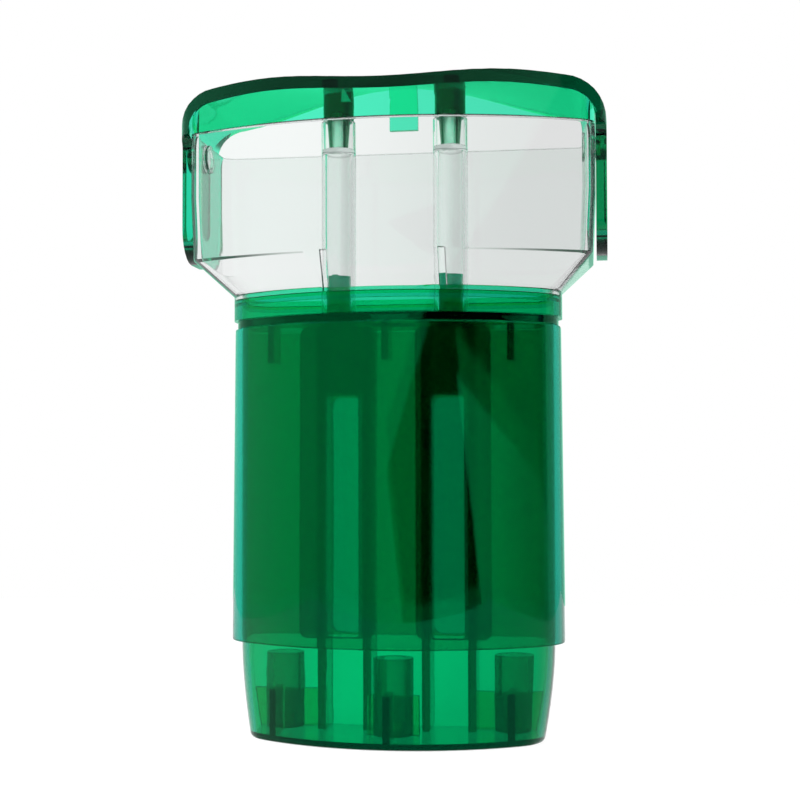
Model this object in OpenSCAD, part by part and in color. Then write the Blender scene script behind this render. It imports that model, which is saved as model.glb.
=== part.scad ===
// Pocket case for three assembled darts: a translucent body with a pull-off sleeve,
// a clear housing for the flights, and a lid that lifts on two side arms and tips back.
// Millimetres. +Z up, origin at the centre of the footprint on the base plane.
// The curved front faces -Y.

/* [Body] */
// Width of the body inside the sleeve
body_width = 77.2; // [73:0.2:80]
// Distance from the middle plane to the front of the body
body_front = 15.3; // [14:0.1:16]
// Distance from the middle plane to the flat rear of the body
body_rear = 15; // [13.5:0.1:16]
// Radius of the curved front of the body
body_bow = 57; // [52:1:64]
// Radius of the body's two front corners
body_front_corner = 10.5; // [8:0.5:13]
// Radius of the body's two rear corners
body_rear_corner = 6; // [4:0.5:8]
// Wall thickness of the body
body_wall = 1.6; // [1.2:0.1:2]
// Thickness of the body's floor
floor_thickness = 1.6; // [1.2:0.1:2.4]
// How far each side of the body draws in towards the base
base_draw = 2.6; // [1:0.1:3]
// Height over which the body draws in
base_draw_height = 22; // [18:1:23]
// Rounding of the bottom edge
base_edge = 0.9; // [0.5:0.1:1.2]

/* [Deck and collar] */
// Height of the deck's underside above the base
deck_height = 100.2; // [96:0.2:110]
// Thickness of the deck
deck_thickness = 1.9; // [1.4:0.1:2.4]
// Height of the collar above the deck
collar_height = 5; // [4:0.5:8]
// Thickness of the collar's wall
collar_wall = 1.8; // [1.6:0.1:2.4]
// Width of the dark shadow line between the deck and the collar's face
line_depth = 0.9; // [0.4:0.1:1.2]
// Height of the lip that centres the flight housing
lip_height = 1.2; // [1:0.1:2.5]
// Thickness of that lip
lip_wall = 1; // [0.8:0.1:1.4]
// Height of the lip's root on the inside of the collar
lip_root = 1.5; // [1:0.1:2]
// Width of the three square holes in the deck, one for each dart
deck_hole = 10.4; // [9:0.1:11]

/* [Sleeve] */
// Height of the sleeve's lower edge above the base
sleeve_bottom = 23.5; // [23:0.5:30]
// Wall thickness of the sleeve at its upper edge
sleeve_wall = 1.5; // [1.2:0.1:2]
// Extra wall thickness of the sleeve at its lower edge
sleeve_flare = 0.65; // [0:0.05:1]
// Sliding gap between the sleeve and the body
sleeve_gap = 0.25; // [0.15:0.05:0.4]

/* [Dart bays] */
// Distance between neighbouring darts
dart_pitch = 28.3; // [27.5:0.1:29]
// Distance of the middle dart in front of the middle plane
middle_dart_forward = 1.2; // [0:0.2:3]
// Distance of the outer darts behind the middle plane
outer_dart_back = 8; // [6:0.5:8.4]
// Outer diameter of a tip cup
cup_diameter = 9.6; // [8.5:0.1:10.5]
// Bore of a tip cup
cup_bore = 6.4; // [5.5:0.1:7]
// Height of a tip cup
cup_height = 18.4; // [15:0.1:20]
// Height of the solid foot under a tip cup's bore
cup_foot = 9; // [6:0.1:11]
// Diameter of the peg that a tip cup is pressed on
peg_diameter = 4; // [3:0.1:5]
// Height of that peg
peg_height = 3.6; // [2.5:0.1:4]
// Height of the webs beside the tip cups
web_height = 9.4; // [8:0.2:13]
// Thickness of the webs and gussets
web_thickness = 1.7; // [1.2:0.1:2.2]
// Height of the gussets in front of the tip cups
gusset_height = 10.9; // [9:0.1:14]
// Width of the three ribs under the deck
rib_width = 1.6; // [1.2:0.1:2.4]
// Height of those ribs
rib_height = 9.2; // [6:0.2:12]
// Depth of those ribs
rib_depth = 6.5; // [4:0.1:7]

/* [Columns] */
// Distance between the middles of the two columns
column_pitch = 25.6; // [24:0.2:27]
// Width of a column over its two rails
column_width = 13.2; // [12:0.1:14]
// Thickness of a rail
rail_thickness = 2; // [1.4:0.1:2.4]
// Distance of the rails' front edges behind the middle plane
rail_front = 3.5; // [2.5:0.5:5]
// Height of the bridge block at the top of a column
bridge_height = 16.2; // [12:0.5:20]
// Thickness of the bridge block
bridge_thickness = 4.1; // [2:0.1:6]
// Width of a column cover
cover_width = 18.2; // [16:0.1:19]
// How far a column cover is moved outwards from its column's middle
cover_offset = 1.25; // [0.5:0.05:2]
// Thickness of a column cover
cover_thickness = 1.5; // [1:0.1:2]
// Width of a column cover's window
window_width = 7.8; // [6:0.1:9]
// Height of a column cover's window
window_height = 59; // [45:1:62]
// Width of the body's rear window behind a column
rear_window_width = 9.6; // [8:0.1:12]
// Diameter of the stake that holds a column cover
stake_diameter = 5.6; // [4:0.1:6.5]
// How far that stake stands out of the cover
stake_rise = 0.6; // [0.2:0.1:1]
// Radius of a column cover's corners
cover_corner = 2; // [1:0.1:3]

/* [Flight housing] */
// Width of the flight housing
housing_width = 98; // [94:0.5:102]
// Front-to-back depth of the flight housing
housing_depth = 42; // [40:0.5:46]
// Radius of the curved front of the housing
housing_bow = 108; // [95:1:130]
// Radius of the housing's corners
housing_corner = 5; // [4:0.5:7]
// Wall thickness of the housing
housing_wall = 1.8; // [1.4:0.1:2.2]
// Height of the upright foot ring that stands on the collar
foot_height = 1.1; // [0.8:0.1:2]
// Height of the sloping part over the foot ring
flare_height = 8; // [6:0.2:9]
// Height of the lower side walls, which lean inwards
lean_height = 14.9; // [12:0.2:18]
// How far the lower side walls lean in
lean_depth = 0.7; // [0.3:0.1:1.5]
// Width of the two snap slots at the foot of the front wall
snap_width = 1.6; // [1.2:0.1:2.4]
// Height of those slots above the collar
snap_height = 9.3; // [7:0.1:10]
// Height of the upright upper walls
upright_height = 15.6; // [14:0.2:20]

/* [Posts] */
// Distance between the two clear posts
post_pitch = 27.6; // [26.5:0.1:28.5]
// Distance of the posts behind the middle plane
post_back = 2.1; // [1:0.1:3]
// Outer diameter of a post
post_diameter = 8.4; // [7.8:0.1:9]
// Wall thickness of a post
post_wall = 1.2; // [1:0.1:1.4]
// Height of a post above the housing's rim
post_rise = 4.2; // [3.5:0.1:5]
// Depth of the open socket at the top of a post
socket_depth = 6.9; // [6:0.1:8]
// Wall thickness of that socket
socket_wall = 0.8; // [0.7:0.1:1]
// Thickness of the web that closes the tube under the socket
socket_web = 1.2; // [0.8:0.1:2]
// Height of the body's stud inside a post
stud_height = 10.8; // [6:0.2:12]

/* [Lid] */
// Thickness of the lid's top
lid_top = 2.9; // [2:0.1:3]
// Height of the lid's crown above the housing's rim
lid_rise = 10.7; // [10:0.1:12]
// Depth of the shallow dip in the middle of the lid
lid_dip = 1.2; // [0:0.1:2]
// Distance of the two crowns from the middle of the lid
crown_offset = 30; // [25:1:35]
// Rise of the lid's top towards the rear, for each millimetre of depth
lid_slope = 0.25; // [0:0.01:0.27]
// Half width of the arch that this rise forms between the shoulders
arch_half = 46; // [40:1:48]
// Radius of the lid's two shoulders
shoulder_radius = 9.5; // [8:0.5:10.5]
// Thickness of the lid's front skirt
skirt_thickness = 1.8; // [1.4:0.1:2.2]
// Gap between the closed lid's skirt and the housing's rim
rim_gap = 0.3; // [0.2:0.1:0.5]
// Thickness of a side arm
arm_thickness = 2.6; // [1.8:0.05:2.8]
// Distance from the pivot to a side arm's front edge
arm_front = 9.1; // [8:0.1:10]
// Distance from the pivot to a side arm's rear edge
arm_rear = 14.4; // [13:0.1:14.4]
// Radius of the lower corners of a side arm
arm_corner = 8; // [6:0.5:9]
// Length of a side arm below the housing's rim
arm_length = 30.1; // [29:0.1:31]
// Gap between a side arm and the housing
arm_gap = 0.15; // [0.1:0.05:0.3]
// Radius of the fillets where an arm meets the lid
arm_fillet = 3; // [2:0.5:3]
// Diameter of the bosses under the lid
boss_diameter = 7.5; // [6.8:0.1:8]
// Diameter of the peg that joins a boss to the lid
boss_peg = 3.6; // [3:0.1:4.5]
// Length of that peg
boss_peg_length = 1.3; // [1:0.1:1.6]
// Diameter of a locating spigot where it leaves its boss
spigot_diameter = 5.6; // [5.2:0.1:5.8]
// Diameter of a locating spigot at its tip
spigot_tip = 4.6; // [4.2:0.1:5]
// Diameter of the steel pin in a spigot
pin_diameter = 3.2; // [2.8:0.1:3.4]
// Length of the steel pin in a spigot
pin_length = 8.6; // [8:0.1:9]
// Width of the slot that splits a spigot into two prongs
prong_slot = 3; // [2.4:0.1:3.1]
// Width of the finger tab at the lid's rear edge
tab_width = 7.3; // [5:0.1:9]
// Height of the tab's lower end above the housing's rim
tab_rise = 5.9; // [4:0.1:8]
// Thickness of the tab
tab_thickness = 1.5; // [1:0.1:2]

/* [Lid motion] */
// How far the lid lifts
lid_lift = 17.2; // [16.8:0.1:17.4]
// Height of the pivot below the housing's rim
pivot_drop = 3.4; // [3.2:0.1:4]
// Distance of the pivot behind the middle plane
pivot_back = 4; // [3.5:0.1:4.5]
// Diameter of the pivot stud's disc, which runs in the arm's slot
stud_disc = 7; // [6:0.1:7.4]
// Diameter of the pivot stud's shank
stud_shank = 5; // [4:0.1:5.4]
// Radial running gap of the shank in the housing's wall
shank_gap = 0.05; // [0.03:0.01:0.08]
// Gap between the disc and each side of the slot
slot_gap = 0.15; // [0.1:0.05:0.25]
// Thickness of the pivot stud's inner head
stud_head = 0.7; // [0.6:0.1:1.5]

/* [Hidden] */

BODY_GREEN = [0.03, 0.55, 0.36, 0.75];
SLEEVE_GREEN = [0.05, 0.62, 0.42, 0.6];
LID_GREEN = [0.10, 0.80, 0.55, 0.7];
CUP_GREEN = [0.03, 0.45, 0.30];
CLEAR = [0.86, 0.90, 0.89, 0.4];
STEEL = [0.70, 0.72, 0.69];

bow_steps = 10;      // outline points along half of the curved front
corner_steps = 6;    // outline points along each corner
arch_steps = 8;      // sections of the lid from front to rear
round_fn = 48;       // roundness of true cylinders
over = 0.5;          // how far a cutting shape runs past what it cuts
touch = 0.02;        // gap between pressed pieces that only touch

left = -1;
right = 1;

collar_bottom = deck_height + deck_thickness;
collar_top = collar_bottom + collar_height;
foot_top = collar_top + foot_height;
flare_top = foot_top + flare_height;
lean_top = flare_top + lean_height;
rim_height = lean_top + upright_height;
crown_height = rim_height + lid_rise;
lid_height = crown_height + lid_slope * housing_depth;
sleeve_top = deck_height - sleeve_gap;
half_depth = housing_depth / 2;
half_housing = housing_width / 2;
collar_step = sleeve_gap + sleeve_wall + 0.3;

pivot_height = rim_height - pivot_drop;
arm_inner = half_housing + arm_gap;
arm_outer = arm_inner + arm_thickness;
arm_tip = rim_height - arm_length;
column_x = column_pitch / 2;
window_top = deck_height - bridge_height - 0.8;
post_x = post_pitch / 2;
post_top = rim_height + post_rise;
socket_floor = post_top - socket_depth;
boss_bottom = post_top + 0.1;
spigot_end = socket_floor + 0.4;
cup_y = [outer_dart_back, -middle_dart_forward, outer_dart_back];
cup_x = [-dart_pitch, 0, dart_pitch];
cup_seat = cup_diameter / 2 + touch;

// ---- outlines and lofts ----------------------------------------------------

// Corner angle where the curved front runs into a corner of radius r.
function bow_end(half, bow, r) = asin((half - r) / (bow - r));

// Right half of a plan outline, from the middle of the front to the rear corner.
function half_outline(half, front, rear, bow, rf, rr) =
    let (end = bow_end(half, bow, rf),
         bow_y = bow - front,
         corner_y = bow_y - sqrt(pow(bow - rf, 2) - pow(half - rf, 2)))
    concat(
        [for (i = [0:bow_steps]) let (t = end * i / bow_steps)
            [bow * sin(t), bow_y - bow * cos(t)]],
        [for (i = [1:corner_steps]) let (t = end + (90 - end) * i / corner_steps)
            [half - rf + rf * sin(t), corner_y - rf * cos(t)]],
        [for (i = [0:corner_steps]) let (t = 90 * i / corner_steps)
            [half - rr + rr * cos(t), rear - rr + rr * sin(t)]]);

// Closed plan outline, symmetric about X = 0.
function outline(half, front, rear, bow, rf, rr) =
    let (side = half_outline(half, front, rear, bow, rf, rr), last = len(side) - 1)
    concat(side, [for (i = [last:-1:1]) [-side[i].x, side[i].y]]);

// Body outline, moved outwards by grow and drawn in at the sides by draw.
function body_outline(grow, draw = 0) =
    outline(body_width / 2 + grow - draw, body_front + grow - draw / 8,
            body_rear + grow - draw / 3, body_bow + grow,
            body_front_corner + grow, body_rear_corner + grow);

// Housing outline, moved outwards by grow.
function housing_outline(grow, lean = 0) =
    outline(half_housing + grow - lean, half_depth + grow - lean / 4,
            half_depth + grow - lean / 4, housing_bow + grow,
            housing_corner + grow, housing_corner + grow);

// Drawing-in of the body's sides at height z.
function draw_at(z) = z >= base_draw_height ? 0 : base_draw * pow(1 - z / base_draw_height, 1.6);

// Solid through a stack of [height, outline] sections with equal point counts.
module loft(sections) {
    n = len(sections[0][1]);
    levels = len(sections);
    points = [for (s = sections) for (p = s[1]) [p.x, p.y, s[0]]];
    sides = [for (k = [0:levels - 2]) for (i = [0:n - 1]) let (j = (i + 1) % n)
        for (f = [[k * n + i, (k + 1) * n + i, (k + 1) * n + j],
                  [k * n + i, (k + 1) * n + j, k * n + j]]) f];
    bottom = [for (i = [0:n - 1]) i];
    top = [for (i = [n - 1:-1:0]) (levels - 1) * n + i];
    polyhedron(points = points, faces = concat(sides, [bottom], [top]), convexity = 6);
}

module prism(low, high, points) {
    translate([0, 0, low]) linear_extrude(high - low) polygon(points);
}

// Box given by its two corners.
module block(low, high) {
    translate(low) cube(high - low);
}

module rod(diameter, low, high) {
    translate([0, 0, low]) cylinder(d = diameter, h = high - low, $fn = round_fn);
}

// ---- body ------------------------------------------------------------------

draw_levels = [for (i = [1:7]) base_draw_height * i / 7];

module body_outside() {
    edge = [[0, base_edge], [base_edge * 0.3, base_edge * 0.3], [base_edge, 0]];
    loft(concat(
        [for (e = edge) [e[0], body_outline(-e[1], draw_at(e[0]))]],
        [for (z = draw_levels) [z, body_outline(0, draw_at(z))]],
        [[deck_height, body_outline(0)]]));
}

// Solid that follows the body's shape, moved outwards by grow.
module body_core(grow, low, high) {
    loft(concat(
        [[low, body_outline(grow, draw_at(low))]],
        [for (z = draw_levels) [z, body_outline(grow, draw_at(z))]],
        [[high, body_outline(grow)]]));
}

module body_walls() {
    difference() {
        body_outside();
        body_core(-body_wall, floor_thickness, deck_height + over);
        for (s = [left, right]) rear_window(s);
    }
}

// Window in the rear wall, through which the spares in a column are reached.
module rear_window(side) {
    translate([side * column_x, body_rear + over, 0]) rotate([90, 0, 0])
        linear_extrude(body_wall + 2 * over)
            rounded_panel(rear_window_width / 2, window_top - window_height, window_top,
                          cover_corner);
}

// Web and gusset that hold one tip cup upright.
module cup_bracket(i) {
    x = cup_x[i];
    y = cup_y[i];
    outer = column_x + column_width / 2 + touch;
    gap = column_x - column_width / 2 - touch;
    low = i == 0 ? -body_width / 2 : i == 1 ? -gap : outer;
    high = i == 0 ? -outer : i == 1 ? gap : body_width / 2;
    block([low, y - web_thickness / 2, floor_thickness - over],
          [high, y + web_thickness / 2, floor_thickness + web_height]);
    block([x - web_thickness / 2, -body_front, floor_thickness - over],
          [x + web_thickness / 2, y, floor_thickness + gusset_height]);
}

// Rib inside the front wall, directly under the deck.
module deck_rib(x) {
    wall_y = -body_front + body_bow - sqrt(pow(body_bow, 2) - x * x);
    block([x - rib_width / 2, wall_y, deck_height - rib_height],
          [x + rib_width / 2, wall_y + body_wall + rib_depth, deck_height]);
}

module body_shell() {
    color(BODY_GREEN) {
        body_walls();
        difference() {
            intersection() {
                body_core(-body_wall / 2, floor_thickness - over, deck_height);
                union() {
                    for (i = [0:2]) cup_bracket(i);
                    for (x = cup_x) deck_rib(x);
                }
            }
            for (i = [0:2]) translate([cup_x[i], cup_y[i], floor_thickness])
                block([-1, -1, 0] * cup_seat, [1, 1, 0] * cup_seat + [0, 0, cup_height]);
        }
        for (i = [0:2]) translate([cup_x[i], cup_y[i], floor_thickness])
            rod(peg_diameter - touch, -over, peg_height);
    }
}

// ---- collar ----------------------------------------------------------------

// Deck and collar in one, with a hole for each dart and the studs for the posts.
module collar() {
    color(BODY_GREEN) {
        deck();
        lip();
        for (s = [left, right]) translate([s * post_x, post_back, 0])
            rod(post_diameter - 2 * post_wall - 2 * touch, deck_height,
                collar_bottom + stud_height);
    }
}

module deck() {
    difference() {
        union() {
            prism(deck_height, collar_bottom, body_outline(collar_step - line_depth));
            prism(collar_bottom, collar_top, body_outline(collar_step));
        }
        prism(collar_bottom, collar_top + over, body_outline(collar_step - collar_wall));
        for (i = [0:2]) translate([cup_x[i], cup_y[i], deck_height - over])
            linear_extrude(deck_thickness + 2 * over)
                rounded_panel(deck_hole / 2, -deck_hole / 2, deck_hole / 2, cover_corner);
    }
}

// Lip inside the collar's upper edge, which centres the flight housing.
module lip() {
    face = collar_step - collar_wall;
    difference() {
        union() {
            prism(collar_top - lip_root, collar_top - lip_root / 2,
                  body_outline(face + lip_wall / 2));
            prism(collar_top - lip_root, collar_top + lip_height, body_outline(face - touch));
        }
        prism(collar_top - lip_root - over, collar_top + lip_height + over,
              body_outline(face - lip_wall));
    }
}

// ---- sleeve ----------------------------------------------------------------

module sleeve() {
    color(SLEEVE_GREEN) difference() {
        loft([[sleeve_bottom, body_outline(sleeve_gap + sleeve_wall + sleeve_flare)],
              [sleeve_top, body_outline(sleeve_gap + sleeve_wall)]]);
        prism(sleeve_bottom - over, sleeve_top + over, body_outline(sleeve_gap));
    }
}

// ---- tip cups, columns and covers ------------------------------------------

module tip_cup(i) {
    color(CUP_GREEN) translate([cup_x[i], cup_y[i], floor_thickness]) difference() {
        rod(cup_diameter, 0, cup_height);
        rod(cup_bore, cup_foot, cup_height + over);
        rod(peg_diameter, -over, peg_height + touch);
    }
}

function stake_height() = deck_height - bridge_height / 2;

// Column: two upright rails, the bridge block at their top and the long stake through it.
module column(side) {
    half = column_width / 2;
    rear = body_rear - body_wall - touch;
    low = floor_thickness + touch;
    high = deck_height - touch;
    color(BODY_GREEN) translate([side * column_x, 0, 0]) {
        for (s = [left, right]) translate([s * (half - rail_thickness / 2), 0, 0])
            block([-rail_thickness / 2, rail_front, low], [rail_thickness / 2, rear, high]);
        block([-half, rail_front, deck_height - bridge_height],
              [half, rail_front + bridge_thickness, high]);
        translate([0, rear, stake_height()]) rotate([90, 0, 0])
            rod(stake_diameter, 0, rear - rail_front + cover_thickness + stake_rise);
    }
}

module column_cover(side) {
    half = cover_width / 2;
    low = sleeve_bottom + 0.5;
    high = deck_height - touch;
    color(BODY_GREEN) difference() {
        translate([0, rail_front - touch, 0]) rotate([90, 0, 0])
            linear_extrude(cover_thickness) difference() {
                translate([side * (column_x + cover_offset), 0])
                    rounded_panel(half, low, high, cover_corner);
                translate([side * column_x, 0])
                    rounded_panel(window_width / 2, window_top - window_height, window_top, 1);
            }
        translate([side * column_x, rail_front + over, stake_height()]) rotate([90, 0, 0])
            rod(stake_diameter + 2 * touch, 0, cover_thickness + 2 * over);
    }
}

// Upright rectangle with rounded corners, drawn in X and Z.
module rounded_panel(half, low, high, r) {
    polygon(concat(
        [for (t = [0:15:90]) [half - r + r * sin(t), low + r - r * cos(t)]],
        [for (t = [0:15:90]) [half - r + r * cos(t), high - r + r * sin(t)]],
        [for (t = [0:15:90]) [-half + r - r * sin(t), high - r + r * cos(t)]],
        [for (t = [0:15:90]) [-half + r - r * cos(t), low + r - r * sin(t)]]));
}

// ---- flight housing and posts ----------------------------------------------

// Sections of the housing, moved inwards by inset.
function housing_sections(inset, low, high) = [
    [low, body_outline(collar_step - inset)],
    [collar_top, body_outline(collar_step - inset)],
    [foot_top, body_outline(collar_step - inset)],
    [flare_top, housing_outline(-inset, lean_depth)],
    [lean_top, housing_outline(-inset)],
    [high, housing_outline(-inset)]];

module flight_housing() {
    outer = housing_sections(0, collar_top, rim_height);
    color(CLEAR) difference() {
        loft([for (i = [1:5]) outer[i]]);
        loft(housing_sections(housing_wall, collar_top - over, rim_height + over));
        for (s = [left, right]) {
            translate([s * half_housing, pivot_back, pivot_height]) rotate([0, 90, 0])
                rod(stud_shank + 2 * shank_gap, -2 * housing_wall, 2 * housing_wall);
            block([s * post_x - snap_width / 2, -half_depth, collar_top - over],
                  [s * post_x + snap_width / 2, -half_depth / 2, collar_top + snap_height]);
        }
    }
}

module post(side) {
    socket_bore = post_diameter - 2 * socket_wall;
    color(CLEAR) translate([side * post_x, post_back, 0]) difference() {
        rod(post_diameter, collar_bottom, post_top);
        rod(post_diameter - 2 * post_wall, collar_bottom - over, socket_floor - socket_web);
        rod(socket_bore, socket_floor, post_top + over);
        block([-post_diameter, 0, socket_floor], [post_diameter, post_diameter, post_top + over]);
    }
}

// ---- lid -------------------------------------------------------------------

// Height of the lid's waved top at distance x from the middle.
function crown_at(x) = crown_height - lid_dip * (1 + cos(180 * x / crown_offset)) / 2;

// Right half of the lid's front outline, inset by the top and arm thicknesses.
function lid_half(inset_top, inset_side, foot) =
    let (start = arm_outer - shoulder_radius,
         rise = crown_at(start) - inset_top,
         spring = crown_at(start) - shoulder_radius,
         wide = arm_outer - inset_side)
    concat(
        [for (i = [0:bow_steps]) let (x = start * i / bow_steps) [x, crown_at(x) - inset_top]],
        [for (i = [1:corner_steps + 2]) let (t = 90 * i / (corner_steps + 2))
            [start + (wide - start) * sin(t), spring + (rise - spring) * cos(t)]],
        [[wide, foot]]);

// How much the lid's top is raised at distance x from the middle and depth y.
function arch_at(x, y) = abs(x) >= arch_half ? 0
    : lid_slope * (y + half_depth) * (1 + cos(180 * x / arch_half)) / 2;

// Front outline of the lid with its arch at depth y.
function lid_section(side, y) =
    let (last = len(side) - 1)
    concat([for (i = [last:-1:0]) [side[i].x, side[i].y + arch_at(side[i].x, y)]],
           [for (i = [1:last]) [-side[i].x, side[i].y + arch_at(side[i].x, y)]]);

// Solid bounded by the lid's outline, inset by the top and arm thicknesses, from front to
// rear and as far beyond the housing as reach says.
module lid_solid(inset_top, inset_side, foot, reach) {
    side = lid_half(inset_top, inset_side, foot);
    end = half_depth + reach;
    rotate([90, 0, 0]) loft([for (k = [0:arch_steps])
        let (level = end * (2 * k / arch_steps - 1)) [level, lid_section(side, -level)]]);
}

// Side view of the lid: the full depth at the top, narrowing to the rounded arms.
module lid_side_view() {
    front_edge = pivot_back - arm_front;
    rear_edge = pivot_back + arm_rear;
    shelf = rim_height + rim_gap;
    c = arm_corner;
    f = arm_fillet;
    front = -half_depth - over;
    rear = half_depth + over;
    polygon(concat(
        [for (t = [0:15:90]) [front_edge + c - c * cos(t), arm_tip + c - c * sin(t)]],
        [for (t = [0:15:90]) [rear_edge - c + c * sin(t), arm_tip + c - c * cos(t)]],
        [for (t = [0:15:90]) [rear_edge + f - f * cos(t), shelf - f + f * sin(t)]],
        [[rear, shelf], [rear, lid_height + over], [front, lid_height + over], [front, shelf]],
        [for (t = [90:-15:0]) [front_edge - f + f * cos(t), shelf - f + f * sin(t)]]));
}

// Slot in the side arms, in which the pivot discs run.
module arm_slots() {
    width = stud_disc + 2 * slot_gap;
    rotate([90, 0, 90]) translate([pivot_back, pivot_height, -arm_outer - over])
        linear_extrude(2 * (arm_outer + over)) {
            circle(d = width, $fn = round_fn);
            translate([-width / 2, -lid_lift]) square([width, lid_lift]);
            translate([0, -lid_lift]) circle(d = width, $fn = round_fn);
        }
}

module lid_shell() {
    intersection() {
        difference() {
            lid_solid(0, 0, arm_tip - over, over);
            lid_solid(lid_top, arm_thickness, arm_tip - 2 * over, 2 * over);
        }
        rotate([90, 0, 90]) translate([0, 0, -arm_outer - over])
            linear_extrude(2 * (arm_outer + over)) lid_side_view();
        prism(arm_tip - over, lid_height + over, lid_outline());
    }
}

// Plan outline of the lid: the housing's front and rear, widened to the arms.
function lid_outline() =
    outline(arm_outer, half_depth, half_depth, housing_bow + arm_gap + arm_thickness,
            housing_corner + arm_gap, housing_corner + arm_gap);

module lid_skirt() {
    intersection() {
        difference() {
            prism(rim_height + rim_gap, lid_height, housing_outline(0));
            prism(rim_height, lid_height + over, housing_outline(-skirt_thickness));
            block([-arm_outer, -half_depth / 3, rim_height],
                  [arm_outer, half_depth + over, lid_height + over]);
        }
        lid_solid(lid_top / 2, arm_thickness / 2, rim_height, over);
    }
}

// Height of the underside of the lid's top over a boss.
boss_top = crown_at(post_x) + arch_at(post_x, post_back) - lid_top;

module lid() {
    tab_top = crown_at(0) + arch_at(0, half_depth - tab_thickness) - lid_top / 2;
    color(LID_GREEN) difference() {
        union() {
            lid_shell();
            lid_skirt();
            block([-tab_width / 2, half_depth - tab_thickness - rim_gap, rim_height + tab_rise],
                  [tab_width / 2, half_depth - rim_gap, tab_top]);
        }
        arm_slots();
        for (s = [left, right]) translate([s * post_x, post_back, 0])
            rod(boss_peg, boss_top - boss_peg_length, boss_top + boss_peg_length + touch);
    }
}

// Boss under the lid, ending in a tapered spigot that is split into two prongs. Its top
// follows the lid's underside, and a peg joins it to the lid.
module boss(side) {
    color(CUP_GREEN) difference() {
        union() {
            intersection() {
                translate([side * post_x, post_back, 0])
                    rod(boss_diameter, boss_bottom, lid_height);
                lid_solid(lid_top + touch, arm_thickness, rim_height, 0);
            }
            translate([side * post_x, post_back, 0]) {
                rod(boss_peg - touch, boss_bottom + over, boss_top + boss_peg_length);
                translate([0, 0, spigot_end])
                    cylinder(d1 = spigot_tip, d2 = spigot_diameter, h = boss_bottom - spigot_end,
                             $fn = round_fn);
            }
        }
        translate([side * post_x, post_back, 0]) {
            rod(pin_diameter, spigot_end - over, spigot_end + pin_length + touch);
            block([-prong_slot / 2, -boss_diameter, spigot_end - over],
                  [prong_slot / 2, boss_diameter, boss_bottom]);
        }
    }
}

module spigot_pin(side) {
    color(STEEL) translate([side * post_x, post_back, spigot_end])
        rod(pin_diameter, 0, pin_length);
}

// ---- pivot studs -----------------------------------------------------------

// Stud snapped into a side wall: head inside, shank in the wall, disc in the arm's slot.
module pivot_stud(side) {
    wall_inner = half_housing - housing_wall;
    color(CLEAR) translate([0, pivot_back, pivot_height]) rotate([0, side * 90, 0]) {
        rod(stud_disc, wall_inner - touch - stud_head, wall_inner - touch);
        rod(stud_shank, wall_inner - touch - stud_head / 2, arm_inner);
        rod(stud_disc, arm_inner - arm_gap / 2, arm_outer);
    }
}

body_shell();
collar();
sleeve();
flight_housing();
lid();
tip_cup(0);  // tip_cup_left
tip_cup(1);  // tip_cup_middle
tip_cup(2);  // tip_cup_right
column(left);  // column_left
column(right);  // column_right
column_cover(left);  // column_cover_left
column_cover(right);  // column_cover_right
post(left);  // post_left
post(right);  // post_right
boss(left);  // boss_left
boss(right);  // boss_right
spigot_pin(left);  // spigot_pin_left
spigot_pin(right);  // spigot_pin_right
pivot_stud(left);  // pivot_stud_left
pivot_stud(right);  // pivot_stud_right
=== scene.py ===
import math

import bmesh
import bpy
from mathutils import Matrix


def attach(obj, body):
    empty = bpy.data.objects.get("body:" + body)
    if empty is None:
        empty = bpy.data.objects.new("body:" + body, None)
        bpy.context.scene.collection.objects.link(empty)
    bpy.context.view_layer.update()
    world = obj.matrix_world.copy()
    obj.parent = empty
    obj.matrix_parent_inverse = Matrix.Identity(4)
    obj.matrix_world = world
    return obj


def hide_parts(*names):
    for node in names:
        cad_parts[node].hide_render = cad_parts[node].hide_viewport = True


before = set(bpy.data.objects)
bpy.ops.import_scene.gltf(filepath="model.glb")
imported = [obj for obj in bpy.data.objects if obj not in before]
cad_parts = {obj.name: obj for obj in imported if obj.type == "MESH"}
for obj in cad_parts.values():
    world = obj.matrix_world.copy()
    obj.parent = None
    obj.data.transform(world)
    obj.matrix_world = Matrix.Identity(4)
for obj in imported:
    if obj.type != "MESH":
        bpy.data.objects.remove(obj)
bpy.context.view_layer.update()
MM = 0.001


# ---- camera ------------------------------------------------------------------
# A long lens a third of a metre in front of the case, a little below the middle of its
# height and to the right of its centre line.
CAMERA_TURN = math.radians(8.22)
CAMERA_PITCH = math.radians(2.0)
CAMERA_ROLL = math.radians(0.13)
CAMERA_DISTANCE = 351.3 * MM
CAMERA_HEIGHT = 65.5 * MM
LENS_LENGTH = 64.99
LENS_SHIFT = (0.0076, 0.0225)
SENSOR_WIDTH = 36

camera = bpy.data.objects.new("camera", bpy.data.cameras.new("camera"))
bpy.context.scene.collection.objects.link(camera)
camera.location = (
    CAMERA_DISTANCE * math.sin(CAMERA_TURN),
    -CAMERA_DISTANCE * math.cos(CAMERA_TURN),
    CAMERA_HEIGHT,
)
camera.rotation_euler = (math.radians(90) + CAMERA_PITCH, CAMERA_ROLL, CAMERA_TURN)
camera.data.sensor_width = SENSOR_WIDTH
camera.data.lens = LENS_LENGTH
camera.data.shift_x, camera.data.shift_y = LENS_SHIFT
camera.data.clip_start = 10 * MM
bpy.context.scene.camera = camera


# ---- body and column frames ----------------------------------------------------
# The body is two mouldings in clear green plastic: a floor with pegs and thin walls that
# draw in towards the base, and the collar that carries the deck. The two column frames
# are pressed into it, and a cover is pressed on the front of each.
SAME_PLACE = 1e-6
FLAT_WITHIN = math.radians(0.4)
ROUND_EDGES_ABOVE = math.radians(28)
SMOOTH_BELOW = math.radians(40)
EDGE_SEGMENTS = 2
EDGE = 0.2 * MM
THIN_EDGE = 0.15 * MM


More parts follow.
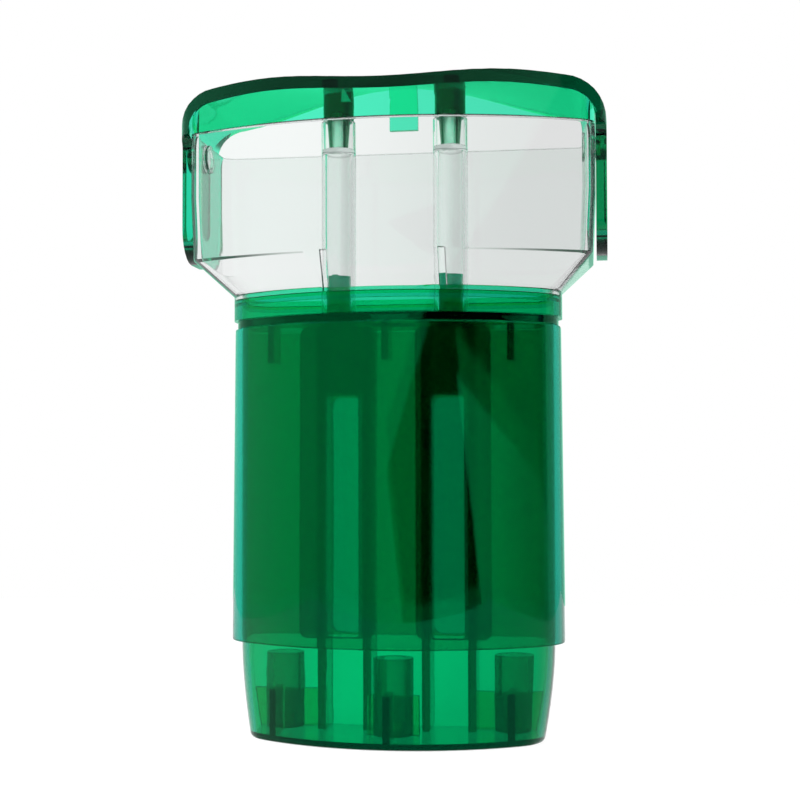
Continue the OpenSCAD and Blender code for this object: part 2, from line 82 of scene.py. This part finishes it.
def moulded_piece(node, body, edge=0.0):
    """Moulding with the CAD node's shape and smooth curved walls. edge rounds its edges."""
    bm = bmesh.new()
    bm.from_mesh(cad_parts[node].data)
    bmesh.ops.remove_doubles(bm, verts=bm.verts, dist=SAME_PLACE)
    bmesh.ops.dissolve_limit(
        bm, angle_limit=FLAT_WITHIN, verts=bm.verts, edges=bm.edges, delimit={"NORMAL"}
    )
    if edge:
        corners = [e for e in bm.edges
                   if e.is_manifold and e.calc_face_angle(0) > ROUND_EDGES_ABOVE]
        bmesh.ops.bevel(
            bm, geom=corners, offset=edge, offset_type="OFFSET", segments=EDGE_SEGMENTS,
            profile=0.5, affect="EDGES", clamp_overlap=True, material=-1,
        )
    for face in bm.faces:
        face.smooth = True
    for e in bm.edges:
        e.smooth = not e.is_manifold or e.calc_face_angle(0) < SMOOTH_BELOW
    mesh = bpy.data.meshes.new(node + "_moulding")
    bm.to_mesh(mesh)
    bm.free()
    piece = bpy.data.objects.new(node + "_moulding", mesh)
    bpy.context.scene.collection.objects.link(piece)
    even = piece.modifiers.new("even_shading", "WEIGHTED_NORMAL")
    even.keep_sharp = True
    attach(piece, body)
    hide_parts(node)
    return piece


def cleared_tree(owner):
    """Empty node tree of a material or of the world."""
    owner.use_nodes = True
    owner.node_tree.nodes.clear()
    return owner.node_tree


def add_node(tree, kind, inputs, **settings):
    """Node whose inputs are set to values or linked to the outputs of other nodes."""
    node = tree.nodes.new(kind)
    for name, setting in settings.items():
        setattr(node, name, setting)
    for name, value in inputs.items():
        if isinstance(value, bpy.types.NodeSocket):
            tree.links.new(value, node.inputs[name])
        else:
            node.inputs[name].default_value = value
    return node


PLASTIC_IOR = 1.5
POLISH = (0.015, 0.05)
FLOW_SCALE = 55
FLOW_DETAIL = 2
RIPPLE_STRENGTH = 0.02
RIPPLE_HEIGHT = 1 * MM


def moulded_plastic(name, tint, absorbed, gloss):
    """Clear polished plastic. tint colours each wall, absorbed is how strongly a millimetre
    takes out red, green and blue, and gloss colours the reflections."""
    material = bpy.data.materials.new(name)
    tree = cleared_tree(material)
    place = add_node(tree, "ShaderNodeTexCoord", {})
    flow = add_node(tree, "ShaderNodeTexNoise", {
        "Vector": place.outputs["Object"], "Scale": FLOW_SCALE, "Detail": FLOW_DETAIL,
    }).outputs["Fac"]
    polish = add_node(tree, "ShaderNodeMapRange", {
        "Value": flow, "To Min": POLISH[0], "To Max": POLISH[1],
    })
    ripple = add_node(tree, "ShaderNodeBump", {
        "Height": flow, "Strength": RIPPLE_STRENGTH, "Distance": RIPPLE_HEIGHT,
    })
    plastic = add_node(tree, "ShaderNodeBsdfPrincipled", {
        "Base Color": (*tint, 1),
        "Transmission Weight": 1,
        "IOR": PLASTIC_IOR,
        "Specular Tint": (*gloss, 1),
        "Roughness": polish.outputs["Result"],
        "Normal": ripple.outputs["Normal"],
    })
    strongest = max(absorbed)
    absorb = add_node(tree, "ShaderNodeVolumeAbsorption", {
        "Color": (*(1 - amount / strongest for amount in absorbed), 1),
        "Density": strongest / MM,
    })
    add_node(tree, "ShaderNodeOutputMaterial", {
        "Surface": plastic.outputs["BSDF"], "Volume": absorb.outputs["Volume"],
    })
    return material


def finish(piece, material):
    """Give a piece its material."""
    piece.data.materials.clear()
    piece.data.materials.append(material)


GREEN_GLOSS = (0.01, 1, 0.42)

body_green = moulded_plastic(
    "body_green", tint=(0.1, 0.97, 0.53), absorbed=(0.9, 0.25, 0.25), gloss=GREEN_GLOSS
)
for name in ("body_shell", "collar"):
    finish(moulded_piece(name, "body"), body_green)

column_green = moulded_plastic(
    "column_green", tint=(0.5, 0.98, 0.85), absorbed=(0.8, 0.24, 0.26), gloss=GREEN_GLOSS
)
for name in ("column_left", "column_right"):
    finish(moulded_piece(name, "body", EDGE), column_green)

cover_green = moulded_plastic(
    "cover_green", tint=(0.3, 0.9, 0.8), absorbed=(2, 0.85, 0.85), gloss=GREEN_GLOSS
)
for name in ("column_cover_left", "column_cover_right"):
    finish(moulded_piece(name, "body", EDGE), cover_green)


# ---- tip cups ----------------------------------------------------------------
# Three open cups for the points of the darts, moulded in a green like the body's and
# pressed on the pegs of its floor.
cup_green = moulded_plastic(
    "cup_green", tint=(0.4, 0.95, 0.85), absorbed=(0.9, 0.3, 0.33), gloss=GREEN_GLOSS
)
for name in ("tip_cup_left", "tip_cup_middle", "tip_cup_right"):
    finish(moulded_piece(name, "body", EDGE), cup_green)


# ---- sleeve ------------------------------------------------------------------
# Pull-off sleeve around the middle of the body, in a darker clear green. It is one
# moulding, open at both ends, and friction holds it on the body.
SLEEVE_EDGE = 0.3 * MM

sleeve_green = moulded_plastic(
    "sleeve_green", tint=(0.08, 0.63, 0.45), absorbed=(0.5, 0.1, 0.1), gloss=GREEN_GLOSS
)
finish(moulded_piece("sleeve", "sleeve", SLEEVE_EDGE), sleeve_green)


# ---- flight housing, posts and pivot studs --------------------------------------
# Colourless polished plastic. The housing sits on the collar, the posts are pressed on
# the deck's studs, and the pivot studs are snapped through the housing's side walls.
HOUSING_EDGE = 0.25 * MM

clear_plastic = moulded_plastic(
    "clear_plastic", tint=(0.98, 0.985, 0.983), absorbed=(0.04, 0.037, 0.037),
    gloss=(0.45, 0.45, 0.45),
)
finish(moulded_piece("flight_housing", "body", HOUSING_EDGE), clear_plastic)
for name in ("post_left", "post_right"):
    finish(moulded_piece(name, "body", THIN_EDGE), clear_plastic)
for name in ("pivot_stud_left", "pivot_stud_right"):
    finish(moulded_piece(name, "pivot", THIN_EDGE), clear_plastic)


# ---- lid ---------------------------------------------------------------------
# One moulding in a light clear green: a waved top that rises to the rear, a front skirt,
# two slotted side arms and a tab at the rear edge.
lid_green = moulded_plastic(
    "lid_green", tint=(0.15, 1, 0.64), absorbed=(0.38, 0.088, 0.105),
    gloss=(0.28, 0.36, 0.33),
)
finish(moulded_piece("lid", "lid", EDGE), lid_green)


# ---- bosses and pins -----------------------------------------------------------
# Dense green bosses pegged into the lid. Each ends in a spigot split into two prongs,
# which grip a turned steel pin. The steel is shaded nearly matt, so that it doesn't turn
# dark inside the plastic.
boss_green = moulded_plastic(
    "boss_green", tint=(0.45, 0.92, 0.68), absorbed=(0.7, 0.66, 0.74), gloss=GREEN_GLOSS
)
for name in ("boss_left", "boss_right"):
    finish(moulded_piece(name, "lid", THIN_EDGE), boss_green)

STEEL_COLOUR = (0.86, 0.86, 0.83, 1)
STEEL_METALLIC = 0.08
SATIN = (0.35, 0.6)
TOOL_MARKS = (100, 100, 9000)

steel = bpy.data.materials.new("steel_pin")
tree = cleared_tree(steel)
place = add_node(tree, "ShaderNodeTexCoord", {})
rings = add_node(tree, "ShaderNodeMapping", {
    "Vector": place.outputs["Object"], "Scale": TOOL_MARKS,
})
marks = add_node(tree, "ShaderNodeTexNoise", {"Vector": rings.outputs["Vector"], "Scale": 1})
satin = add_node(tree, "ShaderNodeMapRange", {
    "Value": marks.outputs["Fac"], "To Min": SATIN[0], "To Max": SATIN[1],
})
turned = add_node(tree, "ShaderNodeBsdfPrincipled", {
    "Base Color": STEEL_COLOUR,
    "Metallic": STEEL_METALLIC,
    "Roughness": satin.outputs["Result"],
})
add_node(tree, "ShaderNodeOutputMaterial", {"Surface": turned.outputs["BSDF"]})
for name in ("spigot_pin_left", "spigot_pin_right"):
    finish(moulded_piece(name, "lid", EDGE), steel)


# ---- table -------------------------------------------------------------------
# White table that glows almost as brightly as the background. The case leaves only a faint
# shadow on it, or none. Seen through the plastic, its glow carries painted shade that
# darkens it from left to right.
TABLE_HALF_SIZE = 350 * MM
TABLE_GAP = 0.2 * MM
TABLE_COLOUR = (0.8, 0.8, 0.8, 1)
TABLE_FAINT = (0.15, 0.15, 0.15, 1)
TABLE_GLOW = 0.94
TABLE_PAINTED_SHADE = 0.32
DIM_FROM = -30 * MM
DIM_TO = 40 * MM


def calculate(operation, first, second=0.0):
    """Math node in the current tree on two values or outputs; returns its result."""
    node = add_node(tree, "ShaderNodeMath", {0: first, 1: second}, operation=operation)
    return node.outputs[0]


def fade(value, low, high, start=0.0, end=1.0):
    """Smooth change from start to end as value goes from low to high."""
    node = add_node(tree, "ShaderNodeMapRange", {
        "Value": value, "From Min": low, "From Max": high, "To Min": start, "To Max": end,
    }, interpolation_type="SMOOTHSTEP")
    return node.outputs["Result"]


table_white = bpy.data.materials.new("table_white")
tree = cleared_tree(table_white)
path = add_node(tree, "ShaderNodeLightPath", {}).outputs
place = add_node(tree, "ShaderNodeTexCoord", {})
across = add_node(tree, "ShaderNodeSeparateXYZ", {"Vector": place.outputs["Object"]})
# Painted shade: for rays seen through the plastic, the table's glow is turned down towards
# the right.
painted_shade = calculate(
    "MULTIPLY",
    fade(across.outputs["X"], DIM_FROM, DIM_TO, 0.0, TABLE_PAINTED_SHADE),
    path["Is Transmission Ray"],
)
glow = add_node(tree, "ShaderNodeEmission", {
    "Color": (1, 1, 1, 1), "Strength": calculate("SUBTRACT", TABLE_GLOW, painted_shade),
})
faint = add_node(tree, "ShaderNodeBsdfDiffuse", {"Color": TABLE_FAINT})
paper = add_node(tree, "ShaderNodeAddShader", {
    0: faint.outputs["BSDF"], 1: glow.outputs["Emission"],
})
matt = add_node(tree, "ShaderNodeBsdfDiffuse", {"Color": TABLE_COLOUR})
seen = calculate(
    "MAXIMUM",
    calculate("MAXIMUM", path["Is Camera Ray"], path["Is Transmission Ray"]),
    path["Is Glossy Ray"],
)
surface = add_node(tree, "ShaderNodeMixShader", {
    "Fac": seen, 1: matt.outputs["BSDF"], 2: paper.outputs["Shader"],
})
add_node(tree, "ShaderNodeOutputMaterial", {"Surface": surface.outputs["Shader"]})

bm = bmesh.new()
bmesh.ops.create_grid(bm, x_segments=1, y_segments=1, size=TABLE_HALF_SIZE)
table_mesh = bpy.data.meshes.new("table")
bm.to_mesh(table_mesh)
bm.free()
table = bpy.data.objects.new("table", table_mesh)
bpy.context.scene.collection.objects.link(table)
table_mesh.materials.append(table_white)
table.location.z = -TABLE_GAP


# ---- room --------------------------------------------------------------------
# White behind the case and a little dimmer on the right, dark high up. In front of it
# stand a bright panel on the left and a smaller one low on the right, with darkness
# between them, and these show as soft reflections. Turns are angles around the case.
PANEL_LIGHT = (0.4, 1.0, 0.72, 1)
WHITE_LIGHT = (1, 1, 1, 1)
PANEL_BLUR = math.radians(1.2)
LEFT_EDGE = math.radians(6)
LEFT_LIGHT, LEFT_DARK = 1.12, 0.02
ARROW_TOP, ARROW_TOP_SLOPE = 0.02, 3.6
ARROW_FOOT, ARROW_FOOT_SLOPE = 0.01, 1.3
RIGHT_EDGE, RIGHT_EDGE_SLOPE = math.radians(33), 1.3
RIGHT_END = math.radians(75)
RIGHT_LIGHT, RIGHT_END_LIGHT = 1.2, 0.35
CUT_LIT, CUT_DARK, CUT_SLANT = 0.128, 0.134, 0.1
WHITE_UP_TO, DARK_FROM, DARK_LIGHT = 0.34, 0.6, 0.05
BEHIND_LEFT, BEHIND_RIGHT = math.radians(-14), math.radians(-2)
BEHIND_LEFT_LIGHT, BEHIND_RIGHT_LIGHT = 1.03, 0.84
FRONT_BLUR = 0.05
FRONT_SEEN_THROUGH = 0.95
PIN_LIGHT = 4.0
SOFT_LIGHT = 0.45


def blend(amount, first, second):
    """Value between first and second by amount."""
    change = calculate("MULTIPLY", amount, calculate("SUBTRACT", second, first))
    return calculate("ADD", first, change)


def without(value, share):
    """Value less the given share of it."""
    return calculate("MULTIPLY", value, calculate("SUBTRACT", 1.0, share))


world = bpy.data.worlds.new("studio")
bpy.context.scene.world = world
tree = cleared_tree(world)
direction = add_node(tree, "ShaderNodeTexCoord", {})
split = add_node(tree, "ShaderNodeSeparateXYZ", {"Vector": direction.outputs["Generated"]})
side, depth, height = split.outputs["X"], split.outputs["Y"], split.outputs["Z"]
front_turn = calculate("ARCTAN2", side, calculate("MULTIPLY", depth, -1.0))
rear_turn = calculate("ARCTAN2", side, depth)

# The left panel's edge runs in a blunt arrow shape.
over_top = calculate("MAXIMUM", calculate("SUBTRACT", height, ARROW_TOP), 0.0)
under_foot = calculate("MAXIMUM", calculate("SUBTRACT", ARROW_FOOT, height), 0.0)
arrow = calculate(
    "ADD",
    calculate("MULTIPLY", over_top, ARROW_TOP_SLOPE),
    calculate("MULTIPLY", under_foot, ARROW_FOOT_SLOPE),
)
past_left = calculate("SUBTRACT", front_turn, calculate("SUBTRACT", arrow, LEFT_EDGE))
left_panel = fade(past_left, 0.0, -PANEL_BLUR, LEFT_DARK, LEFT_LIGHT)

# The right panel leans, is cut off slanting at the top and dims towards its far end.
right_edge = calculate(
    "SUBTRACT", RIGHT_EDGE, calculate("MULTIPLY", height, RIGHT_EDGE_SLOPE)
)
past_right = calculate("SUBTRACT", front_turn, right_edge)
slanting = calculate("ADD", height, calculate("MULTIPLY", front_turn, CUT_SLANT))
right_shape = calculate(
    "MULTIPLY", fade(past_right, 0.0, PANEL_BLUR), fade(slanting, CUT_DARK, CUT_LIT)
)
right_panel = calculate(
    "MULTIPLY",
    right_shape,
    fade(front_turn, RIGHT_EDGE, RIGHT_END, RIGHT_LIGHT, RIGHT_END_LIGHT),
)

front = calculate("MAXIMUM", left_panel, right_panel)
behind = calculate(
    "MULTIPLY",
    fade(height, WHITE_UP_TO, DARK_FROM, 1.0, DARK_LIGHT),
    fade(rear_turn, BEHIND_LEFT, BEHIND_RIGHT, BEHIND_LEFT_LIGHT, BEHIND_RIGHT_LIGHT),
)
in_front = fade(depth, FRONT_BLUR, -FRONT_BLUR)
around = blend(in_front, behind, front)

# Straight through the plastics, the room in front is about as white as the one behind.
path = add_node(tree, "ShaderNodeLightPath", {}).outputs
once_reflected = calculate("MINIMUM", path["Glossy Depth"], 1.0)
straight = without(path["Is Transmission Ray"], once_reflected)
seen_from_behind = calculate("MULTIPLY", straight, in_front)
around = blend(seen_from_behind, around, FRONT_SEEN_THROUGH)

# Light that reaches a matt surface by way of the plastic is raised, because the steel
# pins inside it stay too dark otherwise. This holds for the table as well. Light that
# misses the plastic is soft, and the background is plain white.
after_matt = calculate("MINIMUM", path["Diffuse Depth"], 1.0)
around = calculate("MAXIMUM", around, calculate("MULTIPLY", after_matt, PIN_LIGHT))
on_plastic = calculate("MAXIMUM", path["Is Transmission Ray"], path["Is Glossy Ray"])
strength = calculate(
    "MAXIMUM", blend(on_plastic, SOFT_LIGHT, around), path["Is Camera Ray"]
)

# The panels and the reflections on the case are greenish. What is seen straight through
# is white.
reflected = without(path["Is Glossy Ray"], path["Is Transmission Ray"])
greenish = calculate("MAXIMUM", calculate("MULTIPLY", in_front, on_plastic), reflected)
greenish = without(without(greenish, after_matt), seen_from_behind)
tone = add_node(tree, "ShaderNodeMix", {"Factor": greenish}, data_type="RGBA")
white_input, panel_input = [entry for entry in tone.inputs if entry.type == "RGBA"]
white_input.default_value = WHITE_LIGHT
panel_input.default_value = PANEL_LIGHT
light_colour = [result for result in tone.outputs if result.type == "RGBA"][0]
sky = add_node(tree, "ShaderNodeBackground", {"Color": light_colour, "Strength": strength})
add_node(tree, "ShaderNodeOutputWorld", {"Surface": sky.outputs["Background"]})


# ---- lamps -------------------------------------------------------------------
# Two soft lamps, a key on the left and a weak fill on the right. They light the table and
# the matt surfaces, and don't show in the gloss of the case or through it.
LAMP_AIM_HEIGHT = 80 * MM


def lamp(name, place, width, height, watts):
    """Soft rectangular lamp that looks at the middle of the case."""
    light = bpy.data.lights.new(name, "AREA")
    light.shape = "RECTANGLE"
    light.size = width
    light.size_y = height
    light.energy = watts
    holder = bpy.data.objects.new(name, light)
    bpy.context.scene.collection.objects.link(holder)
    holder.location = place
    aim = -holder.location
    aim.z += LAMP_AIM_HEIGHT
    holder.rotation_euler = aim.to_track_quat("-Z", "Y").to_euler()
    holder.visible_glossy = False
    holder.visible_transmission = False


lamp("key", place=(-0.7, -0.7, 0.8), width=0.5, height=0.5, watts=9)
lamp("fill", place=(0.9, -0.5, 0.5), width=0.4, height=0.6, watts=4)


# ---- finish --------------------------------------------------------------------
# Light has to pass many walls of the stacked plastics.
WALLS_PASSED = 40
REFLECTIONS_FOLLOWED = 16

bpy.context.scene.view_settings.view_transform = "Standard"
bpy.context.scene.cycles.max_bounces = WALLS_PASSED
bpy.context.scene.cycles.transmission_bounces = WALLS_PASSED
bpy.context.scene.cycles.glossy_bounces = REFLECTIONS_FOLLOWED
